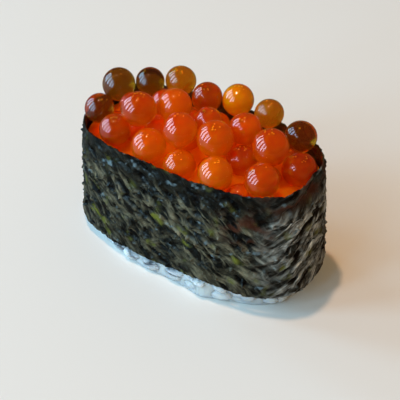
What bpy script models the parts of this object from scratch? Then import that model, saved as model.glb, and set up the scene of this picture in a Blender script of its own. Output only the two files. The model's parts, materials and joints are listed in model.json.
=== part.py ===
"""Gunkan sushi: a block of rice in a band of nori, heaped with salmon roe.

X runs along the sushi, Y across it and Z up. The origin is the middle of the
flat foot that it rests on.
"""

import math
import random
from collections import namedtuple

import bmesh
import bpy
from mathutils import Euler, Matrix, Vector, noise

MM = 0.001
GAP = 0.3 * MM  # between pieces that touch

# The oval of the band's rim, a superellipse.
HALF_LENGTH = 26.0 * MM
HALF_WIDTH = 12.75 * MM
SQUARENESS = 2.96  # 2 is an ellipse, and more is closer to a box

# The band of nori.
BAND_BOTTOM = 3.4 * MM
BAND_TOP = 28.4 * MM
BOTTOM_SLOPE = 0.034  # both edges climb towards the +X end
TOP_SLOPE = 0.05
FLARE = 0.085  # how much wider the band is at its bottom than at its rim
SHEET = 0.5 * MM
BAND_STATIONS = 76
BAND_ROWS = 4
RIPPLE = 0.35 * MM  # soft waves in the sheet
RIPPLE_LENGTH = 8.0 * MM
FRAY = 0.22 * MM  # unevenness of the two cut edges
FRAY_LENGTH = 2.2 * MM
FOLD_START = Vector((26.0, 2.0, 28.6)) * MM  # the crease at the +X end's rim
FOLD_END = Vector((25.0, -6.8, 25.3)) * MM
FOLD_DEPTH = 0.8 * MM
FOLD_REACH = 1.6 * MM
LAP_START = 0.20  # where the sheet's two ends overlap, as shares of the way round
LAP_END = 0.31
LAP_STEP = 0.003  # the share over which the outer end's edge steps up

# The rice.
RICE_TOP = 19.5 * MM
FOOT_REACH = 0.7 * MM  # how far the foot stands out past the sheet at mid length
FOOT_RECESS = 3.2 * MM  # and how much it draws in towards both ends
FOOT_ROUNDING = 0.5 * MM
GRAIN = Vector((2.9, 1.35, 1.25)) * MM  # half sizes of one grain
GRAINS = 29
GRAIN_SEGMENTS = 8
GRAIN_CLEARANCE = 0.1 * MM  # over and under each grain of the foot
GRAIN_SEED = 11

# The roe.
BED_DROP = 3.6 * MM  # the heap's core at the wall, below the rim
BED_RISE = 1.4 * MM  # how far the core domes up in the middle
EGG_SEGMENTS = 11
TUCKED_SEGMENTS = 8
EGG_FULLNESS = 1.04  # makes up for what a ball's flat faces cut off
TUCKED_FULLNESS = 1.1
TUCKED_RADIUS = 3.1 * MM  # the eggs that lie in the hollows between those on top
TUCKED_COUNT = 30
TUCKED_STEP = 1.0 * MM  # the spacing of the places tried
TUCKED_OVERLAP = 0.97  # how close eggs lie that press on each other
TUCKED_CEILING = 0.4 * MM  # above the rim's middle height
TUCKED_LEAN = 1.3 * MM  # how much higher they lie at the back than in the middle
TUCKED_FLOOR = 20.4 * MM

# Each egg's place in millimetres: along, across, above the rim's middle height,
# and its radius. The rows run from the -X end to the +X one.
FRONT_ROW = (
    (-22.0, -4.9, 0.7, 3.2),
    (-15.6, -7.8, -0.2, 3.4),
    (-6.6, -8.5, 0.0, 3.7),
    (1.3, -8.8, -1.0, 3.4),
    (9.7, -8.7, 0.7, 3.6),
    (18.7, -6.4, 1.5, 3.6),
    (21.8, 2.3, 0.0, 3.6),
)
CROWN = (
    (-11.7, -4.7, 4.7, 3.7),
    (-6.5, 0.3, 4.5, 3.6),
    (-1.0, -5.2, 4.2, 3.6),
    (1.1, 1.1, 3.1, 3.1),
    (-4.3, 8.8, 2.5, 3.3),
    (6.1, -3.5, 4.0, 3.8),
    (8.6, 3.4, 3.4, 3.4),
    (10.9, -1.5, -0.2, 3.2),
    (5.9, 8.9, -1.4, 3.2),
    (16.7, -0.1, 4.5, 3.8),
)
BACK_ROW = (
    (-22.8, 2.8, 2.0, 3.6),
    (-17.2, 6.3, 3.0, 3.1),
    (-11.9, 10.0, 3.2, 3.3),
    (2.0, 10.8, 3.3, 3.4),
    (9.5, 10.7, 3.1, 3.1),
    (18.6, 7.8, 3.1, 3.3),
)

Station = namedtuple("Station", "point outward share")


def oval_point(angle):
    """A point of the rim's oval, from the angle of its curve."""
    c, s = math.cos(angle), math.sin(angle)
    power = 2 / SQUARENESS
    return Vector((
        HALF_LENGTH * math.copysign(abs(c) ** power, c),
        HALF_WIDTH * math.copysign(abs(s) ** power, s),
        0,
    ))


def oval_outward(point):
    """The outward direction of the oval at one of its points."""
    power = SQUARENESS - 1
    x = math.copysign((abs(point.x) / HALF_LENGTH) ** power, point.x) / HALF_LENGTH
    y = math.copysign((abs(point.y) / HALF_WIDTH) ** power, point.y) / HALF_WIDTH
    return Vector((x, y, 0)).normalized()


def oval_stations(shares):
    """Stations at the given shares of the way round the oval, measured along it."""
    steps = 1440
    fine = [oval_point(2 * math.pi * i / steps) for i in range(steps + 1)]
    travelled = [0.0]
    for start, end in zip(fine, fine[1:]):
        travelled.append(travelled[-1] + (end - start).length)
    stations = []
    step = 0
    for share in shares:
        goal = share * travelled[-1]
        while travelled[step + 1] < goal:
            step += 1
        part = (goal - travelled[step]) / (travelled[step + 1] - travelled[step])
        point = fine[step].lerp(fine[step + 1], part)
        stations.append(Station(point, oval_outward(point), share))
    return stations


def even_shares(count):
    """Shares of the way round, evenly spaced."""
    return [i / count for i in range(count)]


def band_shares():
    """Even shares, with two more at each end of the overlap for its sharp steps."""
    steps = [LAP_START, LAP_START + LAP_STEP, LAP_END - LAP_STEP, LAP_END]
    clear = [s for s in even_shares(BAND_STATIONS) if all(abs(s - t) > LAP_STEP for t in steps)]
    return sorted(clear + steps)


def fold(place):
    """The depth of the crease at a place on the band."""
    run = FOLD_END - FOLD_START
    along = max(0.0, min(1.0, (place - FOLD_START).dot(run) / run.length_squared))
    away = (place - FOLD_START - run * along).length
    return FOLD_DEPTH * math.exp(-((away / FOLD_REACH) ** 2))


def band_place(station, height, offset, lift=0.0):
    """A place on the sheet: height 0 is its lower edge and 1 its rim, and offset is outwards."""
    widened = station.point * (1 + FLARE * (1 - height))
    lower = BAND_BOTTOM + BOTTOM_SLOPE * widened.x
    upper = BAND_TOP + TOP_SLOPE * widened.x
    level = Vector((0, 0, lower + (upper - lower) * height))
    edge = abs(2 * height - 1) ** 4
    fray = noise.noise((widened + level * 3) / FRAY_LENGTH) * FRAY * edge
    ripple = noise.noise((widened + level * 0.5) / RIPPLE_LENGTH) * RIPPLE
    out = offset + ripple - fold(widened + level)
    return widened + station.outward * out + level + Vector((0, 0, fray + lift))


def lap_thickness(share):
    """How much the overlapping end of the sheet adds to the band's outside."""
    rise = (share - LAP_START) / LAP_STEP
    fall = (LAP_END - share) / LAP_STEP
    return SHEET * max(0.0, min(1.0, rise, fall))


def closed_loft(name, rings, around=True):
    """A mesh through rings of equal length: closed on itself, or capped at both ends."""
    mesh = bmesh.new()
    rows = [[mesh.verts.new(point) for point in ring] for ring in rings]
    pairs = list(zip(rows, rows[1:]))
    if around:
        pairs.append((rows[-1], rows[0]))
    for low, high in pairs:
        for i, corner in enumerate(low):
            j = (i + 1) % len(low)
            mesh.faces.new((corner, low[j], high[j], high[i]))
    if not around:
        caps = [mesh.faces.new(rows[0]), mesh.faces.new(rows[-1])]
        bmesh.ops.triangulate(mesh, faces=caps)
    bmesh.ops.recalc_face_normals(mesh, faces=mesh.faces)
    data = bpy.data.meshes.new(name)
    mesh.to_mesh(data)
    mesh.free()
    return bpy.data.objects.new(name, data)


def band(name, stations, growth=0.0):
    """The band as a closed ring of sheet; growth makes it thicker and taller all over."""
    inner, outer = [], []
    half = SHEET / 2 + growth
    for row in range(BAND_ROWS + 1):
        height = row / BAND_ROWS
        lift = growth * (2 * height - 1)
        inner.append([band_place(s, height, -half, lift) for s in stations])
        outer.append([
            band_place(s, height, half + lap_thickness(s.share), lift) for s in stations
        ])
    return closed_loft(name, outer + inner[::-1])


def wall_ring(stations, height, inset):
    """A ring that follows the band's inner face, set in from it."""
    return [band_place(s, height, -SHEET / 2 - inset) for s in stations]


def levelled(ring, level):
    """The same ring, laid flat at one level."""
    return [Vector((p.x, p.y, level)) for p in ring]


def foot_ring(stations, levels, inset):
    """A ring of the rice's foot, which stands proud of the band but draws in at both ends."""
    ring = []
    for s, level in zip(stations, levels):
        reach = FOOT_REACH - FOOT_RECESS * (s.point.x / HALF_LENGTH) ** 2
        place = band_place(s, 0, reach - inset)
        ring.append(Vector((place.x, place.y, level)))
    return ring


def headroom(station):
    """The highest level that the foot may reach under the band's lower edge."""
    return band_place(station, 0, 0).z - GAP - FRAY


def rice_core(stations):
    """The rice's body: a foot below the band, then a block that fills it up to the roe."""
    roof = [headroom(s) for s in stations]
    foot = [
        foot_ring(stations, [0] * len(stations), FOOT_ROUNDING),
        foot_ring(stations, [FOOT_ROUNDING] * len(stations), 0),
        foot_ring(stations, [level - FOOT_ROUNDING for level in roof], 0),
    ]
    under = [
        [Vector((p.x, p.y, level)) for p, level in zip(wall_ring(stations, 0, 2 * GAP), roof)]
    ]
    block = [wall_ring(stations, height, 1.5 * GAP) for height in (0.2, 0.4)]
    top = levelled(wall_ring(stations, 0.6, 2 * GAP), RICE_TOP)
    return closed_loft("rice", foot + under + block + [top], around=False)


def ellipsoid(mesh, centre, sizes, turn, segments):
    """Adds an ellipsoid with the given half sizes to a mesh."""
    shape = Matrix.Translation(centre) @ turn.to_matrix().to_4x4() @ Matrix.Diagonal((*sizes, 1))
    bmesh.ops.create_uvsphere(
        mesh, u_segments=segments, v_segments=segments * 2 // 3, radius=1, matrix=shape
    )


def foot_grains():
    """Grains lying round the foot, half sunk in it, turned this way and that."""
    chance = random.Random(GRAIN_SEED)
    stations = oval_stations(even_shares(GRAINS))
    ring = foot_ring(stations, [0] * GRAINS, 0)
    mesh = bmesh.new()
    for station, edge in zip(stations, ring):
        sizes = GRAIN * chance.uniform(0.88, 1.1)
        sizes.z = min(sizes.z, headroom(station) / 2 - GRAIN_CLEARANCE)
        centre = edge - station.outward * chance.uniform(0.5, 1.1) * MM
        centre.z = headroom(station) - sizes.z - GRAIN_CLEARANCE
        along = math.atan2(station.outward.x, -station.outward.y)
        turn = Euler((0, 0, along + chance.uniform(-0.5, 0.5)))
        ellipsoid(mesh, centre, sizes, turn, GRAIN_SEGMENTS)
    data = bpy.data.meshes.new("foot_grains")
    mesh.to_mesh(data)
    mesh.free()
    return bpy.data.objects.new("foot_grains", data)


def bed_place(place, spread):
    """A place on the heap's core, which follows the rim and is domed in the middle."""
    x, y = place.x * spread, place.y * spread
    return Vector((x, y, BAND_TOP + TOP_SLOPE * x - BED_DROP + BED_RISE * (1 - spread ** 2)))


def roe_core(stations):
    """The heap's body under its eggs, from the rice up to a low dome."""
    base = levelled(wall_ring(stations, 0.65, 2 * GAP), RICE_TOP + GAP)
    wall = wall_ring(stations, 0.8, 1.5 * GAP)
    brim = wall_ring(stations, 0.9, 1.5 * GAP)
    dome = [[bed_place(p, spread) for p in brim] for spread in (0.99, 0.8, 0.6, 0.4, 0.2)]
    return closed_loft("roe", [base, wall] + dome, around=False)


def top_eggs():
    """Centre and radius of each egg that lies on top of the heap."""
    return [
        (Vector((along * MM, across * MM, BAND_TOP + above * MM)), radius * MM)
        for along, across, above, radius in FRONT_ROW + CROWN + BACK_ROW
    ]


def within_band(place, margin):
    """Whether a place lies inside the band's oval, a margin away from it."""
    along = abs(place.x) / (HALF_LENGTH - margin)
    across = abs(place.y) / (HALF_WIDTH - margin)
    return along ** SQUARENESS + across ** SQUARENESS <= 1


def lowered(place, eggs):
    """The place, let down until an egg there clears all the others from below."""
    level = place.z
    for centre, radius in eggs:
        reach = (radius + TUCKED_RADIUS) * TUCKED_OVERLAP
        apart = (centre.xy - place.xy).length
        if apart < reach:
            level = min(level, centre.z - math.sqrt(reach ** 2 - apart ** 2))
    return Vector((place.x, place.y, level))


def tucked_eggs(above):
    """The eggs in the hollows under the top ones, each put where it can lie highest."""
    margin = TUCKED_RADIUS + SHEET / 2 + GAP
    free = []
    for column in range(int(-HALF_LENGTH / TUCKED_STEP), int(HALF_LENGTH / TUCKED_STEP) + 1):
        for row in range(int(-HALF_WIDTH / TUCKED_STEP), int(HALF_WIDTH / TUCKED_STEP) + 1):
            place = Vector((column * TUCKED_STEP, row * TUCKED_STEP, 0))
            place.z = BAND_TOP + TUCKED_CEILING + TUCKED_LEAN * place.y / HALF_WIDTH
            if within_band(place, margin):
                free.append(place)
    eggs = []
    for _ in range(TUCKED_COUNT):
        highest = max((lowered(place, above + eggs) for place in free), key=lambda p: p.z)
        if highest.z - TUCKED_RADIUS > TUCKED_FLOOR:
            eggs.append((highest, TUCKED_RADIUS))
    return eggs


def roe_eggs():
    """The eggs of the heap, each a ball, and coarser where it is tucked away."""
    mesh = bmesh.new()
    top = top_eggs()
    for centre, radius in top:
        sizes = Vector((radius,) * 3) * EGG_FULLNESS
        ellipsoid(mesh, centre, sizes, Euler(), EGG_SEGMENTS)
    for centre, radius in tucked_eggs(top):
        sizes = Vector((radius,) * 3) * TUCKED_FULLNESS
        ellipsoid(mesh, centre, sizes, Euler((0.4, 0.3, 0.2)), TUCKED_SEGMENTS)
    data = bpy.data.meshes.new("roe_eggs")
    mesh.to_mesh(data)
    mesh.free()
    return bpy.data.objects.new("roe_eggs", data)


def combine(target, operation, cutter):
    """Joins a cutter to a piece, or cuts it away."""
    modifier = target.modifiers.new(cutter.name, "BOOLEAN")
    modifier.operation = operation
    modifier.solver = "EXACT"
    modifier.use_self = True
    modifier.object = cutter


def finish(name, colour, roughness, transmission=0.0):
    """A plain finish for one piece."""
    material = bpy.data.materials.new(name)
    material.use_nodes = True
    shader = material.node_tree.nodes["Principled BSDF"]
    shader.inputs["Base Color"].default_value = (*colour, 1)
    shader.inputs["Roughness"].default_value = roughness
    shader.inputs["Metallic"].default_value = 0
    shader.inputs["Transmission Weight"].default_value = transmission
    material.diffuse_color = (*colour, 1)
    return material


def new_collection(name):
    """A collection in the scene."""
    collection = bpy.data.collections.new(name)
    bpy.context.scene.collection.children.link(collection)
    return collection


def build():
    """Makes the three pieces and the shapes that they are joined and cut with."""
    for old in list(bpy.data.objects):
        bpy.data.objects.remove(old)
    pieces = new_collection("gunkan_sushi")
    cutters = new_collection("cutters")

    sheet_stations = oval_stations(band_shares())
    plain_stations = oval_stations(even_shares(BAND_STATIONS // 2))
    nori = band("nori", sheet_stations)
    rice = rice_core(plain_stations)
    roe = roe_core(plain_stations)
    clearance = band("band_clearance", sheet_stations, growth=GAP)
    grains = foot_grains()
    eggs = roe_eggs()

    finishes = {
        nori: finish("nori", (0.035, 0.042, 0.028), 0.45),
        rice: finish("rice", (0.78, 0.8, 0.76), 0.4),
        roe: finish("roe", (0.75, 0.09, 0.004), 0.08, transmission=0.4),
    }
    for piece, material in finishes.items():
        pieces.objects.link(piece)
        piece.data.materials.append(material)
        piece.data.shade_smooth()
        piece.data.set_sharp_from_angle(angle=math.radians(50))
    for cutter in (clearance, grains, eggs):
        cutters.objects.link(cutter)
        cutter.hide_render = True
        cutter.display_type = "WIRE"

    combine(rice, "UNION", grains)
    combine(roe, "UNION", eggs)
    combine(roe, "DIFFERENCE", clearance)


build()
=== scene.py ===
"""The looks of a gunkan sushi: its nori sheet, its rice and its salmon roe.

X runs along the sushi, Y across it and Z up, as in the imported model.
"""

import json
import logging
import math
import random
from contextlib import contextmanager
from dataclasses import dataclass, field
from enum import Enum
from typing import Iterator

import bpy
from bpy.types import AreaLight, ID, Material, Node, NodeSocket, NodeTree, Object
from mathutils import Euler, Matrix, Vector, noise
from mathutils.kdtree import KDTree

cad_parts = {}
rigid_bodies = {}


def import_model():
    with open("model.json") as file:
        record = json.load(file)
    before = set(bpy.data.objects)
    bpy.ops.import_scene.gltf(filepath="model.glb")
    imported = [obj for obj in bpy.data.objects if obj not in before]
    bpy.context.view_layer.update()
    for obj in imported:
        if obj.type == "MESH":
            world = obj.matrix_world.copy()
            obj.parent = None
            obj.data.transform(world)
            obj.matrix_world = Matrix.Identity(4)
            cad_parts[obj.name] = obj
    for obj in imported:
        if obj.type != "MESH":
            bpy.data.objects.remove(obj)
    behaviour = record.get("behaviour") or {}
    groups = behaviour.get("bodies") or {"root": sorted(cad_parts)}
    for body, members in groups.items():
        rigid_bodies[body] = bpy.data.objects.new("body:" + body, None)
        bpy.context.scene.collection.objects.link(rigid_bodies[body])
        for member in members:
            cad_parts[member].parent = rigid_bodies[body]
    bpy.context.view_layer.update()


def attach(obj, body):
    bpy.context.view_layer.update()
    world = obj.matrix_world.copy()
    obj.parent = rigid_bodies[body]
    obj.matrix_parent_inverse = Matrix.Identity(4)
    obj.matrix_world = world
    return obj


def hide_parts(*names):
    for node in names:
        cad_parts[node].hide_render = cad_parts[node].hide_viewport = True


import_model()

MM = 0.001
log = logging.getLogger("gunkan")

Colour = tuple[float, float, float]


def fixed(x: float, y: float, z: float, unit: float = 1.0) -> Vector:
    """A dataclass field that holds a vector."""
    return field(default_factory=lambda: Vector((x, y, z)) * unit)


# ---------------------------------------------------------------- modelling helpers


def pick(*objects: Object) -> None:
    """Selects just the given objects and makes the first one active."""
    for thing in bpy.context.view_layer.objects:
        thing.select_set(thing in objects)
    bpy.context.view_layer.objects.active = objects[0]


@contextmanager
def editing(thing: Object) -> Iterator[None]:
    """Edit mode on one object, and back to object mode at the end.

    Args:
        thing: The object to edit.
    """
    pick(thing)
    bpy.ops.object.mode_set(mode="EDIT")
    yield
    bpy.ops.object.mode_set(mode="OBJECT")


def new_piece(name: str) -> Object:
    """Names the primitive that was just added, and its mesh.

    Args:
        name: The piece's name.

    Returns:
        The active object.
    """
    piece = bpy.context.active_object
    piece.name = name
    piece.data.name = name
    return piece


def apply_modifier(piece: Object, kind: str, **settings: object) -> None:
    """Adds a modifier with the given settings and applies it.

    Args:
        piece: The object that gets it.
        kind: The modifier's type.
        settings: Its properties and their values.
    """
    pick(piece)
    modifier = piece.modifiers.new(kind.title(), kind)
    for key, value in settings.items():
        setattr(modifier, key, value)
    bpy.ops.object.modifier_apply(modifier=modifier.name)


def resize(piece: Object, x: float, y: float, z: float) -> None:
    """Stretches a piece to the given share of its size along each axis."""
    with editing(piece):
        bpy.ops.mesh.select_all(action="SELECT")
        bpy.ops.transform.resize(value=(x, y, z))


def smooth(piece: Object, degrees: float = 180.0) -> Object:
    """Shades a piece smooth, but for its edges that are sharper than an angle.

    Args:
        piece: The object.
        degrees: The angle.

    Returns:
        The same object.
    """
    pick(piece)
    if degrees < 180:
        bpy.ops.object.shade_smooth_by_angle(angle=math.radians(degrees))
    else:
        bpy.ops.object.shade_smooth()
    return piece


def hung(name: str, data: ID) -> Object:
    """A new object in the scene for a mesh, a light or a camera.

    Args:
        name: The object's name.
        data: What it holds.

    Returns:
        The object, at the origin.
    """
    thing = bpy.data.objects.new(name, data)
    bpy.context.scene.collection.objects.link(thing)
    return thing


def placed_copy(master: Object, place: Matrix) -> Object:
    """A copy with its own mesh, with its place in the mesh.

    Args:
        master: The object to copy.
        place: Where the copy goes.

    Returns:
        The copy, whose object stays at the origin.
    """
    data = master.data.copy()
    data.transform(place)
    return hung(master.name, data)


def joined(name: str, master: Object, laid: list[Object]) -> Object:
    """Joins the copies of a master into one piece, and lets the master go.

    Args:
        name: The piece's name.
        master: The object that was copied.
        laid: The copies, in their places.

    Returns:
        The joined piece.
    """
    bpy.data.objects.remove(master)
    pick(*laid)
    bpy.ops.object.join()
    return new_piece(name)


def paint(piece: Object, name: str, values: list[float]) -> None:
    """Writes one value for each point of a mesh as an attribute that materials read."""
    attribute = piece.data.attributes.new(name, "FLOAT", "POINT")
    attribute.data.foreach_set("value", values)


def clamp(value: float) -> float:
    """The value, kept between 0 and 1."""
    return max(0.0, min(1.0, value))


def smooth_step(low: float, high: float, value: float) -> float:
    """0 below low and 1 above high, with a smooth rise between them."""
    share = clamp((value - low) / (high - low))
    return share * share * (3 - 2 * share)


# ---------------------------------------------------------------- shader helpers


class Sketch:
    """Adds nodes to one shader tree and links them."""

    def __init__(self, tree: NodeTree) -> None:
        """Starts on an empty tree."""
        self.tree = tree
        tree.nodes.clear()

    def add(self, kind: str, settings: dict | None = None, **inputs: object) -> Node:
        """Adds a node, sets its properties and fills or links its inputs.

        Args:
            kind: The node's type.
            settings: The node's properties and their values.
            inputs: Values or output sockets by input name, with _ for a space.

        Returns:
            The new node.
        """
        node = self.tree.nodes.new(kind)
        for key, value in (settings or {}).items():
            setattr(node, key, value)
        for key, value in inputs.items():
            self.feed(node.inputs[key.replace("_", " ")], value)
        return node

    def feed(self, socket: NodeSocket, value: object) -> None:
        """Links a socket to another, or sets its value.

        Args:
            socket: The input socket.
            value: An output socket, a number or a colour.
        """
        if isinstance(value, NodeSocket):
            self.tree.links.new(value, socket)
        elif isinstance(value, tuple) and len(value) == 3 and socket.type == "RGBA":
            socket.default_value = (*value, 1)
        else:
            socket.default_value = value

    def mix(self, share: object, first: object, second: object,
            kind: str = "MIX") -> NodeSocket:
        """A blend of two colours.

        Args:
            share: How much of the second one shows.
            first: The first colour.
            second: The second colour.
            kind: How they are blended.

        Returns:
            The blended colour's socket.
        """
        node = self.add("ShaderNodeMix", {"data_type": "RGBA", "blend_type": kind})
        for place, value in ((0, share), (6, first), (7, second)):
            self.feed(node.inputs[place], value)
        return node.outputs[2]

    def maths(self, kind: str, first: object, second: object) -> NodeSocket:
        """One step of arithmetic.

        Args:
            kind: The operation.
            first: Its first value.
            second: Its second value.

        Returns:
            The result's socket.
        """
        node = self.add("ShaderNodeMath", {"operation": kind})
        self.feed(node.inputs[0], first)
        self.feed(node.inputs[1], second)
        return node.outputs[0]

    def ranged(self, value: object, low: float, high: float, start: float = 0.0,
               end: float = 1.0) -> NodeSocket:
        """A value mapped from one range to another, and kept in it.

        Args:
            value: The value's socket.
            low: The value that becomes start.
            high: The value that becomes end.
            start: The low end of the result.
            end: The high end of the result.

        Returns:
            The result's socket.
        """
        node = self.add("ShaderNodeMapRange", Value=value)
        for name, number in zip(("From Min", "From Max", "To Min", "To Max"),
                                (low, high, start, end)):
            node.inputs[name].default_value = number
        return node.outputs[0]

    def bump(self, height: object, strength: float, depth: float) -> NodeSocket:
        """The socket of normals that show a mask as fine relief."""
        node = self.add("ShaderNodeBump", Height=height, Strength=strength, Distance=depth)
        return node.outputs[0]

    def attribute(self, name: str) -> NodeSocket:
        """The value of a mesh attribute."""
        return self.add("ShaderNodeAttribute", {"attribute_name": name}).outputs["Fac"]

    def coordinates(self) -> NodeSocket:
        """The piece's own coordinates, in metres."""
        return self.add("ShaderNodeTexCoord").outputs["Object"]


class Grain(Enum):
    """The patterns that the shared group can put out."""

    FINE = "Fine"
    COARSE = "Coarse"


def new_group(name: str, numbers: dict[str, float],
              masks: list[str]) -> tuple[Sketch, Node, Node]:
    """A new node group with a vector and some numbers in, and masks out.

    Args:
        name: The group's name.
        numbers: The numbers' names and usual values.
        masks: The masks' names.

    Returns:
        The sketch of its tree, its input node and its output node.
    """
    sketch = Sketch(bpy.data.node_groups.new(name, "ShaderNodeTree"))
    faces = sketch.tree.interface
    faces.new_socket("Vector", in_out="INPUT", socket_type="NodeSocketVector")
    for number, value in numbers.items():
        socket = faces.new_socket(number, in_out="INPUT", socket_type="NodeSocketFloat")
        socket.default_value = value
    for mask in masks:
        faces.new_socket(mask, in_out="OUTPUT", socket_type="NodeSocketFloat")
    return sketch, sketch.add("NodeGroupInput"), sketch.add("NodeGroupOutput")


def mottle_group() -> NodeTree:
    """The group that every food surface shares: soft mottling, coarse and fine.

    Returns:
        The group, with Vector, Scale and Contrast in, and Coarse and Fine masks out.
    """
    known = bpy.data.node_groups.get("Mottle")
    if known:
        return known
    sketch, given, out = new_group("Mottle", {"Scale": 300.0, "Contrast": 0.5},
                                   [grain.value for grain in Grain])
    low = sketch.maths("SUBTRACT", 0.5, sketch.maths("MULTIPLY", given.outputs["Contrast"], -0.5))
    high = sketch.maths("SUBTRACT", 1.0, low)
    for grain, factor in ((Grain.COARSE, 1.0), (Grain.FINE, 5.0)):
        scale = sketch.maths("MULTIPLY", given.outputs["Scale"], factor)
        cloud = sketch.add("ShaderNodeTexNoise", Vector=given.outputs["Vector"], Scale=scale,
                           Detail=3.0, Roughness=0.55)
        mapped = sketch.add("ShaderNodeMapRange", Value=cloud.outputs["Fac"])
        sketch.feed(mapped.inputs["From Min"], high)
        sketch.feed(mapped.inputs["From Max"], low)
        sketch.feed(out.inputs[grain.value], mapped.outputs[0])
    return sketch.tree


def mottled(sketch: Sketch, vector: NodeSocket, scale: float,
            contrast: float) -> tuple[NodeSocket, NodeSocket]:
    """Places the shared mottling in a material, and returns its coarse mask and its fine one."""
    node = sketch.add("ShaderNodeGroup", {"node_tree": mottle_group()}, Vector=vector,
                      Scale=scale, Contrast=contrast)
    return node.outputs[Grain.COARSE.value], node.outputs[Grain.FINE.value]


def blank_material(name: str) -> tuple[Material, Sketch]:
    """A new material with an empty tree.

    Args:
        name: The material's name.

    Returns:
        The material and the sketch of its tree.
    """
    material = bpy.data.materials.new(name)
    material.use_nodes = True
    return material, Sketch(material.node_tree)


# ---------------------------------------------------------------- the oval


@dataclass(frozen=True)
class Station:
    """One place on the oval: its point, its outward direction and its share of the way round."""

    point: Vector
    outward: Vector
    share: float


@dataclass(frozen=True)
class Oval:
    """The superellipse that the band's rim follows."""

    half_length: float = 26.0 * MM
    half_width: float = 12.75 * MM
    squareness: float = 2.96
    steps: int = 2880

    def point(self, angle: float) -> Vector:
        """A point of the oval.

        Args:
            angle: The angle of its curve there.

        Returns:
            The point.
        """
        c, s = math.cos(angle), math.sin(angle)
        power = 2 / self.squareness
        return Vector((
            self.half_length * math.copysign(abs(c) ** power, c),
            self.half_width * math.copysign(abs(s) ** power, s),
            0,
        ))

    def outward(self, point: Vector) -> Vector:
        """The outward direction at a point of the oval.

        Args:
            point: The point.

        Returns:
            The direction, of length 1.
        """
        power = self.squareness - 1
        x = math.copysign((abs(point.x) / self.half_length) ** power, point.x)
        y = math.copysign((abs(point.y) / self.half_width) ** power, point.y)
        return Vector((x / self.half_length, y / self.half_width, 0)).normalized()

    def gauge(self, place: Vector, margin: float = 0.0) -> float:
        """How far out a place lies.

        Args:
            place: The place.
            margin: How much smaller than this one the oval is that it is held against.

        Returns:
            0 in the middle and 1 on that oval.
        """
        along = abs(place.x) / (self.half_length - margin)
        across = abs(place.y) / (self.half_width - margin)
        return (along ** self.squareness + across ** self.squareness) ** (1 / self.squareness)

    def perimeter(self) -> float:
        """The way round."""
        fine = [self.point(2 * math.pi * i / self.steps) for i in range(self.steps + 1)]
        return sum((b - a).length for a, b in zip(fine, fine[1:]))

    def stations(self, shares: list[float]) -> list[Station]:
        """Stations at rising shares of the way round, which may run past one turn.

        Args:
            shares: The shares, measured along the oval.

        Returns:
            One station for each share.
        """
        turns = math.ceil(max(shares) + 1e-9)
        fine = [self.point(2 * math.pi * i / self.steps) for i in range(turns * self.steps + 1)]
        travelled = [0.0]
        for start, end in zip(fine, fine[1:]):
            travelled.append(travelled[-1] + (end - start).length)
        found = []
        step = 0
        for share in shares:
            goal = share * travelled[-1] / turns
            while travelled[step + 1] < goal:
                step += 1
            part = (goal - travelled[step]) / (travelled[step + 1] - travelled[step])
            point = fine[step].lerp(fine[step + 1], part)
            found.append(Station(point, self.outward(point), share))
        return found

    def round_trip(self, count: int) -> list[Station]:
        """Stations at even steps, once round."""
        return self.stations([i / count for i in range(count)])


def drum(name: str, sides: int) -> Object:
    """A drum of radius 1 and depth 2, with so many sides, to be drawn to the oval."""
    bpy.ops.mesh.primitive_cylinder_add(vertices=sides, radius=1, depth=2)
    return new_piece(name)


def spoke(place: Vector, stations: list[Station]) -> tuple[Station, float]:
    """The station that a point of a drum points to, and how far out it lies, from 0 to 1."""
    turn = math.atan2(place.y, place.x) / (2 * math.pi) % 1.0
    return stations[round(turn * len(stations)) % len(stations)], place.xy.length


# ---------------------------------------------------------------- the nori


def flow(u: float, v: float, degrees: float, length: float, width: float) -> tuple[float, float]:
    """A place on the flat sheet, measured along and across strands that run one way.

    Args:
        u: The distance along the sheet.
        v: The height on it.
        degrees: The strands' direction above the sheet's length.
        length: How long they are.
        width: How wide they are.

    Returns:
        The distance along them in lengths, and across them in widths.
    """
    turn = math.radians(degrees)
    along = (u * math.cos(turn) + v * math.sin(turn)) / length
    across = (v * math.cos(turn) - u * math.sin(turn)) / width
    return along, across


def strand_group() -> NodeTree:
    """The group for matted strands: long streaks that run one way and wander a little.

    Returns:
        The group, with Vector, Turn, Length and Width in, and a Strands mask out.
    """
    known = bpy.data.node_groups.get("Strands")
    if known:
        return known
    numbers = {"Turn": 0.0, "Length": 4 * MM, "Width": 0.4 * MM}
    sketch, given, out = new_group("Strands", numbers, ["Strands"])
    sway = sketch.add("ShaderNodeTexNoise", Vector=given.outputs["Vector"], Scale=260.0,
                      Detail=1.0)
    sway = sketch.add("ShaderNodeVectorMath", {"operation": "SCALE"}, Vector=sway.outputs["Color"],
                      Scale=2.6 * MM)
    bent = sketch.add("ShaderNodeVectorMath", {"operation": "ADD"})
    sketch.feed(bent.inputs[0], given.outputs["Vector"])
    sketch.feed(bent.inputs[1], sway.outputs[0])
    turned = sketch.add("ShaderNodeVectorRotate", {"rotation_type": "Z_AXIS"},
                        Vector=bent.outputs[0], Angle=given.outputs["Turn"])
    parts = sketch.add("ShaderNodeSeparateXYZ", Vector=turned.outputs[0])
    squeezed = sketch.add("ShaderNodeCombineXYZ",
                          X=sketch.maths("DIVIDE", parts.outputs["X"], given.outputs["Length"]),
                          Y=sketch.maths("DIVIDE", parts.outputs["Y"], given.outputs["Width"]))
    streaks = sketch.add("ShaderNodeTexNoise", Vector=squeezed.outputs[0], Scale=1.0, Detail=2.0,
                         Roughness=0.6)
    sketch.feed(out.inputs["Strands"], sketch.ranged(streaks.outputs["Fac"], 0.5, 0.7))
    return sketch.tree


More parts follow.
